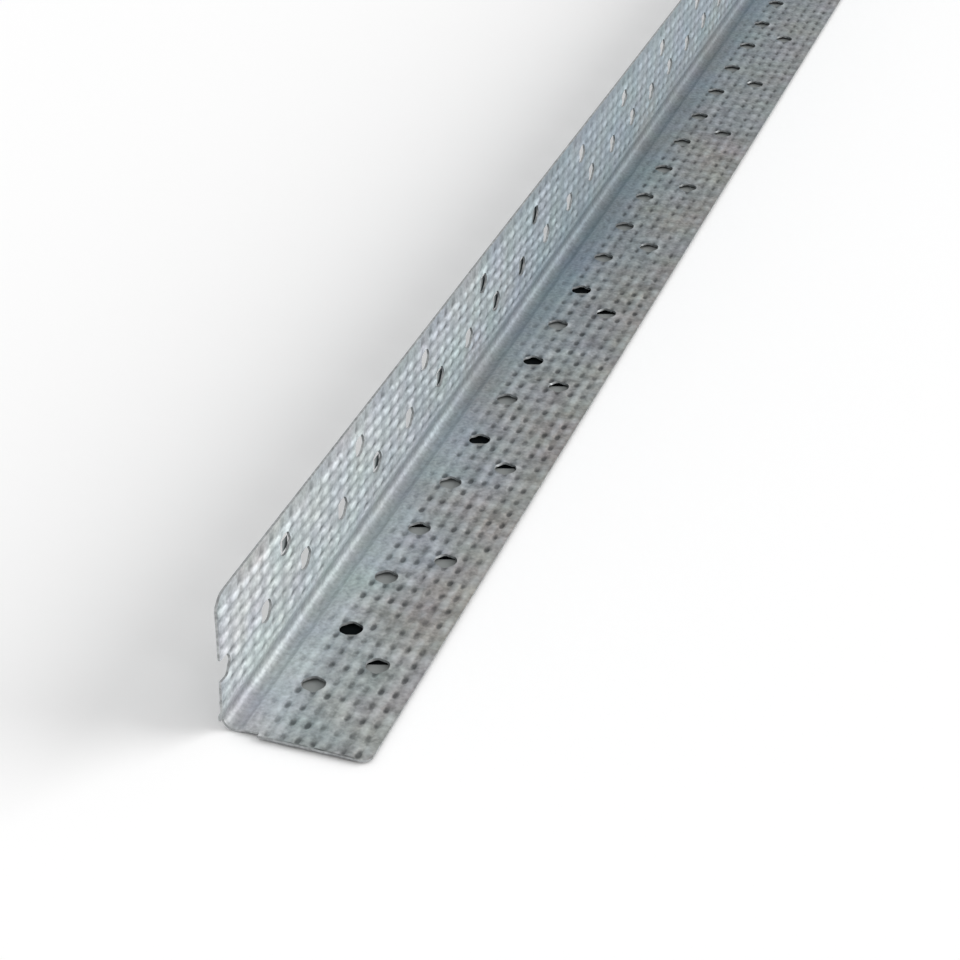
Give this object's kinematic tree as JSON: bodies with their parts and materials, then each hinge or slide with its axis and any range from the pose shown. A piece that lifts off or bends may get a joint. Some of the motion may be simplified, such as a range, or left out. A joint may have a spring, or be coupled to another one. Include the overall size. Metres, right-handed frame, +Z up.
{
  "type": "drywall corner bead",
  "caption": "Roll-formed galvanised steel corner bead: two punched flanges at a right angle with a round bead along the corner, to protect a board corner before it is skimmed.",
  "frame": {"origin": "middle of the bead's box, on the floor it lies on", "axes": "+X along the bead towards the cut end that the picture shows, +Y across the lying flange towards its free edge, +Z up along the standing flange"},
  "size_m": [2.4, 0.031, 0.031],
  "materials": {
    "galvanised_steel": "dull hot-dip zinc, pressed all over with small dimples"
  },
  "bodies": {
    "root": {"corner_bead": "galvanised_steel"}
  },
  "joints": []
}
